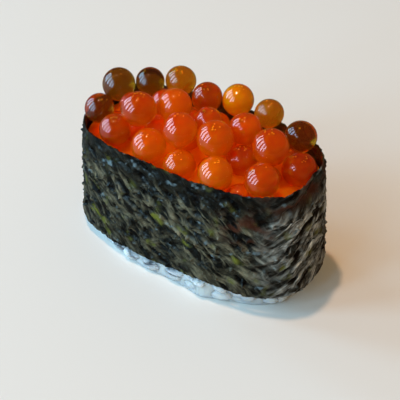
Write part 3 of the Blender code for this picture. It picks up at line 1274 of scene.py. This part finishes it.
@dataclass
class RoeHeap:
    """The heap of salmon eggs: those on top, those tucked under them, and the bed beneath."""

    band: NoriBand
    seed: int = 5
    tucked_radius: float = 3.1 * MM
    tucked_count: int = 30
    tucked_step: float = 1.0 * MM
    tucked_overlap: float = 0.97
    ceiling: float = 0.4 * MM
    lean: float = 1.3 * MM
    floor: float = 20.4 * MM
    bed_floor: float = 19.8 * MM
    bed_edge: tuple[float, float] = (0.85, -0.68 * MM)  # its height on the sheet and way out
    bed_foot: tuple[float, float] = (0.7, -0.66 * MM)
    bed_sides: int = 120
    bed_rings: int = 9
    bed_drop: float = 3.6 * MM  # how far the bed lies under the rim
    bed_rise: float = 1.4 * MM  # and how far it domes up in the middle
    gap: float = 0.02 * MM  # the room that eggs keep between them
    yolk: float = 0.84  # the share of an egg's radius that cloudy jelly fills
    droplets: int = 7
    droplet: float = 0.17 * MM
    jelly: JellyFinish = field(default_factory=lambda: JellyFinish(cloudy=True))
    deep_roe: JellyFinish = field(default_factory=lambda: JellyFinish((0.60, 0.115, 0.003)))
    oil_finish: JellyFinish = field(
        default_factory=lambda: JellyFinish((1.0, 0.5, 0.1), (0.9, 0.3, 0.04))
    )
    # Each egg's place in millimetres: along, across, above the rim's middle height, its radius,
    # its ripeness, its painted dimness (painted shade) and how cloudy it is where that isn't the
    # usual 0.5.
    # The rows run from the -X end to the +X one.
    front_row: tuple = (
        (-22.0, -4.9, 0.7, 3.2, 0.8, 0.3, 0.12),
        (-15.6, -7.8, -0.2, 3.4, 1.0, 0.25),
        (-6.6, -8.5, 0.0, 3.7, 0.7, 0.0),
        (1.3, -8.8, -1.0, 3.4, 0.7, 0.0),
        (9.7, -8.7, 0.7, 3.6, 0.5, 0.0),
        (18.7, -6.4, 1.5, 3.6, 1.0, 0.1),
        (21.8, 2.3, 0.0, 3.6, 1.0, 0.25),
    )
    crown: tuple = (
        (-11.7, -4.7, 4.7, 3.7, 1.0, 0.15),
        (-6.5, 0.3, 4.5, 3.6, 0.7, 0.0),
        (-1.0, -5.2, 4.2, 3.6, 1.0, 0.0),
        (1.1, 1.1, 3.1, 3.1, 1.0, 0.1),
        (-4.3, 8.8, 2.5, 3.3, 1.0, 0.2),
        (6.1, -3.5, 4.0, 3.8, 0.8, 0.0),
        (8.6, 3.4, 3.4, 3.4, 0.9, 0.05),
        (10.9, -1.5, -0.2, 3.2, 1.0, 0.2),
        (5.9, 8.9, -1.4, 3.2, 0.6, 0.0),
        (16.7, -0.1, 4.5, 3.8, 1.0, 0.1),
    )
    back_row: tuple = (
        (-22.8, 2.8, 2.0, 3.6, 0.0, 0.6, 0.08),
        (-17.2, 6.3, 3.0, 3.1, 0.3, 0.75, 0.08),
        (-11.9, 10.0, 3.2, 3.3, 0.0, 0.1, 0.2),
        (2.0, 10.8, 3.3, 3.4, 0.0, 0.0, 0.5),
        (9.5, 10.7, 3.1, 3.1, 0.0, 0.1, 0.2),
        (18.6, 7.8, 3.1, 3.3, 0.6, 0.4, 0.12),
    )

    def top_eggs(self) -> list[Egg]:
        """The eggs that lie on top of the heap, a row at a time."""
        rows = ((Row.FRONT, self.front_row), (Row.CROWN, self.crown), (Row.BACK, self.back_row))
        rim = self.band.top
        return [
            Egg(Vector((along * MM, across * MM, rim + above * MM)), radius * MM, row, *tone)
            for row, places in rows
            for along, across, above, radius, *tone in places
        ]

    def lowered(self, place: Vector, eggs: list[Egg]) -> Vector:
        """The place, let down until an egg there clears all the others from below.

        Args:
            place: The place to start from.
            eggs: The eggs that are there already.

        Returns:
            The lower place.
        """
        level = place.z
        for egg in eggs:
            reach = (egg.radius + self.tucked_radius) * self.tucked_overlap
            apart = (egg.centre.xy - place.xy).length
            if apart < reach:
                level = min(level, egg.centre.z - math.sqrt(reach ** 2 - apart ** 2))
        return Vector((place.x, place.y, level))

    def tucked_eggs(self, above: list[Egg]) -> list[Egg]:
        """The eggs under the top ones, each put where it can lie highest.

        Args:
            above: The eggs on top.

        Returns:
            The eggs tucked under them.
        """
        oval = self.band.oval
        margin = self.tucked_radius + self.band.cad_sheet + 0.05 * MM
        across = int(oval.half_width / self.tucked_step)
        along = int(oval.half_length / self.tucked_step)
        free = []
        for column in range(-along, along + 1):
            for row in range(-across, across + 1):
                place = Vector((column * self.tucked_step, row * self.tucked_step, 0))
                place.z = self.band.top + self.ceiling + self.lean * place.y / oval.half_width
                if oval.gauge(place, margin) <= 1:
                    free.append(place)
        found: list[Egg] = []
        for _ in range(self.tucked_count):
            highest = max((self.lowered(p, above + found) for p in free), key=lambda p: p.z)
            if highest.z - self.tucked_radius > self.floor:
                found.append(Egg(highest, self.tucked_radius, Row.TUCKED))
        return found

    def settle(self, eggs: list[Egg]) -> None:
        """Moves eggs that run into each other apart.

        Args:
            eggs: The eggs.
        """
        for _ in range(40):
            for i, first in enumerate(eggs):
                for second in eggs[i + 1:]:
                    way = second.centre - first.centre
                    short = first.radius + second.radius + self.gap - way.length
                    if short > 0:
                        push = way.normalized() * short / 2
                        first.centre = first.centre - push
                        second.centre = second.centre + push

    def master_egg(self, detail: int) -> Object:
        """Models one egg, a ball that is a little flattened and uneven.

        Args:
            detail: How finely it is divided.

        Returns:
            The egg, of radius 1 in the middle.
        """
        bpy.ops.mesh.primitive_ico_sphere_add(subdivisions=detail, radius=1)
        egg = new_piece("salmon_egg")
        resize(egg, 1.0, 0.99, 0.97)
        for vertex in egg.data.vertices:
            vertex.co *= 1 + 0.012 * noise.noise(vertex.co * 1.1)
        return egg

    def lay(self, name: str, eggs: list[Egg], chance: random.Random, share: float = 0.995,
            detail: int = 4) -> Object:
        """Lays copies of one egg at their places.

        Args:
            name: The piece's name.
            eggs: The eggs.
            chance: The source of their turns.
            share: Their size, as a share of the eggs' own.
            detail: How finely they are divided.

        Returns:
            The eggs as one piece.
        """
        master = self.master_egg(detail)
        laid = []
        for egg in eggs:
            turn = Euler([chance.uniform(0, 2 * math.pi) for _ in range(3)]).to_matrix().to_4x4()
            scale = Matrix.Scale(egg.radius * share, 4)
            copy = placed_copy(master, Matrix.Translation(egg.centre) @ turn @ scale)
            for key in ("ripeness", "painted_dimness", "cloud"):
                paint(copy, key, [getattr(egg, key)] * len(copy.data.vertices))
            laid.append(copy)
        return smooth(joined(name, master, laid))

    def bed_level(self, place: Vector, spread: float) -> float:
        """The level of the bed, which follows the rim, at a place that lies so far out."""
        rim = self.band.top + self.band.top_slope * place.x
        return rim - self.bed_drop + self.bed_rise * (1 - spread ** 2)

    def bed(self) -> Object:
        """Models the bed that the eggs lie in: a drum, drawn to the oval and domed.

        Returns:
            The bed.
        """
        bed = drum("roe_bed", self.bed_sides)
        for _ in range(self.bed_rings):
            for polygon in bed.data.polygons:
                polygon.select = polygon.normal.z > 0.5 and len(polygon.vertices) > 4
            with editing(bed):
                bpy.ops.mesh.select_mode(type="FACE")
                bpy.ops.mesh.inset(thickness=0.98 / self.bed_rings)
        stations = self.band.oval.round_trip(self.bed_sides)
        for vertex in bed.data.vertices:
            station, spread = spoke(vertex.co, stations)
            place = self.band.place(station, *self.bed_edge) * spread
            top = self.bed_level(place, spread)
            swell = noise.noise(place / (4 * MM)) * 0.5 * MM
            if vertex.co.z < 0:
                place = self.band.place(station, *self.bed_foot) * spread
                top, swell = self.bed_floor, 0
            vertex.co = Vector((place.x, place.y, top + swell * (1 - spread ** 4)))
        return smooth(bed, 50)

    def oil(self, eggs: list[Egg], chance: random.Random) -> Object:
        """Models the tiny drops of oil that float under the top of each egg's skin.

        Args:
            eggs: The eggs that hold them.
            chance: The source of their places.

        Returns:
            The droplets as one piece.
        """
        bpy.ops.mesh.primitive_ico_sphere_add(subdivisions=2, radius=1)
        master = new_piece("oil_droplet")
        resize(master, 1.0, 1.0, 0.8)
        laid = []
        for egg in eggs:
            lean = Vector((chance.uniform(-0.2, 0.2), chance.uniform(-0.2, 0.2), 1)).normalized()
            ring = chance.uniform(0.22, 0.42)
            for _ in range(chance.randint(self.droplets - 4, self.droplets + 3)):
                angle = chance.uniform(0, 2 * math.pi)
                spread = ring * chance.uniform(0.75, 1.25)
                side = Vector((math.cos(angle), math.sin(angle), 0)) * spread
                way = (lean * math.sqrt(1 - spread ** 2) + side).normalized()
                size = self.droplet * chance.uniform(0.5, 1.25)
                centre = egg.centre + way * (egg.radius * 0.93 - size)
                place = Matrix.Translation(centre) @ Matrix.Scale(size, 4)
                laid.append(placed_copy(master, place))
        return smooth(joined("roe_oil", master, laid))

    def make(self) -> list[Object]:
        """Builds and dresses the heap, and sets it on the frame.

        Returns:
            The pieces of the heap.
        """
        chance = random.Random(self.seed)
        top = self.top_eggs()
        under = self.tucked_eggs(top)
        self.settle(top + under)
        clear = [egg for egg in top if egg.row is Row.BACK]
        deep = [egg for egg in top if egg.row is not Row.BACK] + under
        yolks = self.lay("roe_yolks", top + under, chance, self.yolk, 3)
        dressed = (
            (self.lay("roe_back_eggs", clear, chance), EggFinish().material("roe_clear_egg")),
            (self.lay("roe_eggs", deep, chance), EggFinish().material("roe_egg")),
            (yolks, self.jelly.material("roe_yolk")),
            (self.bed(), self.deep_roe.material("roe_bed")),
            (self.oil(top, chance), self.oil_finish.material("roe_oil")),
        )
        for piece, material in dressed:
            piece.data.materials.append(material)
            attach(piece, "root")
            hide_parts("roe")
        return [piece for piece, _ in dressed]


# ---------------------------------------------------------------- the studio


@dataclass
class Studio:
    """A plain pale floor, a soft window light, a small warm lamp and the camera."""

    floor_colour: Colour = (0.78, 0.79, 0.785)
    floor_size: float = 3.0
    shaded_radius: float = 0.036  # what the eggs see of the floor is dim near the sushi,
    lit_radius: float = 0.065  # and pale beyond this
    shaded_colour: Colour = (0.34, 0.18, 0.08)
    mirrored_colour: Colour = (0.13, 0.07, 0.035)  # what shiny things mirror of the floor
    window_from: Vector = fixed(-0.70, -0.57, 0.445)
    window_distance: float = 1.0
    window_size: tuple[float, float] = (2.1, 0.92)
    window_panes: int = 5
    window_gap: float = 0.48  # the share of the window that its bars take
    window_power: float = 27.5
    window_colour: Colour = (0.39, 0.725, 0.96)
    lamp_from: Vector = fixed(-0.16, -0.02, 0.987)
    lamp_distance: float = 0.6
    lamp_size: float = 0.03
    lamp_power: float = 1.5
    lamp_colour: Colour = (1.0, 0.60, 0.34)
    room_colour: Colour = (0.32, 0.225, 0.125)
    mirrored_room: Colour = (0.14, 0.07, 0.03)
    backdrop: Colour = (0.62, 0.62, 0.60)  # what the camera itself sees past the floor
    camera_at: Vector = fixed(95.0, -135.8, 155.4, MM)
    camera_aim: Vector = fixed(1.28, -1.82, 13.25, MM)
    lens: float = 92.8

    def floor(self) -> None:
        """Lays the floor that the sushi stands on."""
        bpy.ops.mesh.primitive_plane_add(size=self.floor_size)
        floor = new_piece("floor")
        material, sketch = blank_material("floor")
        far = sketch.add("ShaderNodeVectorMath", {"operation": "LENGTH"},
                         Vector=sketch.coordinates())
        near = sketch.ranged(far.outputs["Value"], self.shaded_radius, self.lit_radius, 1.0, 0.0)
        path = sketch.add("ShaderNodeLightPath")
        through = sketch.maths("MULTIPLY", near, path.outputs["Is Transmission Ray"])
        colour = sketch.mix(through, self.floor_colour, self.shaded_colour)
        colour = sketch.mix(path.outputs["Is Glossy Ray"], colour, self.mirrored_colour)
        shader = sketch.add("ShaderNodeBsdfPrincipled", Base_Color=colour, Roughness=0.45,
                            Specular_IOR_Level=0.3)
        sketch.add("ShaderNodeOutputMaterial", Surface=shader.outputs[0])
        floor.data.materials.append(material)

    def light(self, name: str, data: AreaLight, direction: Vector,
              distance: float, aside: float = 0.0) -> None:
        """Hangs a light and turns it to the sushi.

        Args:
            name: The light's name.
            data: The light.
            direction: The way to it from the sushi.
            distance: How far off it is.
            aside: How far it is moved to its own side.
        """
        lamp = hung(name, data)
        turn = direction.to_track_quat("Z", "Y")
        lamp.location = direction.normalized() * distance + Vector((0, 0, 15 * MM))
        lamp.location += turn @ Vector((aside, 0, 0))
        lamp.rotation_euler = turn.to_euler()

    def lights(self) -> None:
        """Hangs the window light and the lamp, and dims the room."""
        width = self.window_size[0] / self.window_panes
        for pane in range(self.window_panes):
            window = bpy.data.lights.new("window", "AREA")
            window.shape = "RECTANGLE"
            window.size, window.size_y = width * (1 - self.window_gap), self.window_size[1]
            window.energy = self.window_power / self.window_panes
            window.color = self.window_colour
            aside = (pane - (self.window_panes - 1) / 2) * width
            self.light("window", window, self.window_from, self.window_distance, aside)
        lamp = bpy.data.lights.new("lamp", "AREA")
        lamp.shape = "DISK"
        lamp.size = self.lamp_size
        lamp.energy = self.lamp_power
        lamp.color = self.lamp_colour
        self.light("lamp", lamp, self.lamp_from, self.lamp_distance)
        world = bpy.data.worlds.new("room")
        bpy.context.scene.world = world
        world.use_nodes = True
        sketch = Sketch(world.node_tree)
        path = sketch.add("ShaderNodeLightPath")
        colour = sketch.mix(path.outputs["Is Glossy Ray"], self.room_colour, self.mirrored_room)
        colour = sketch.mix(path.outputs["Is Camera Ray"], colour, self.backdrop)
        background = sketch.add("ShaderNodeBackground", Color=colour)
        sketch.add("ShaderNodeOutputWorld", Surface=background.outputs[0])

    def camera(self) -> None:
        """Sets up the camera."""
        data = bpy.data.cameras.new("camera")
        data.lens = self.lens
        data.clip_start = 0.01
        camera = hung("camera", data)
        camera.location = self.camera_at
        back = self.camera_at - self.camera_aim
        camera.rotation_euler = back.to_track_quat("Z", "Y").to_euler()
        bpy.context.scene.camera = camera

    def make(self) -> None:
        """Sets up the whole studio."""
        self.camera()
        self.floor()
        self.lights()
        bpy.context.scene.view_settings.view_transform = "Standard"


# ---------------------------------------------------------------- all of it


def report(pieces: list[Object]) -> None:
    """Logs each piece and its number of faces."""
    for piece in pieces:
        log.info("%s: %d faces", piece.name, len(piece.data.polygons))


def main() -> None:
    """Builds the sushi and its studio in order."""
    logging.basicConfig(level=logging.INFO, format="%(name)s: %(message)s")
    Studio().make()
    band = NoriBand(Oval())
    report([band.make()])
    report(RiceBlock(band).make())
    report(RoeHeap(band).make())


if __name__ == "__main__":
    main()
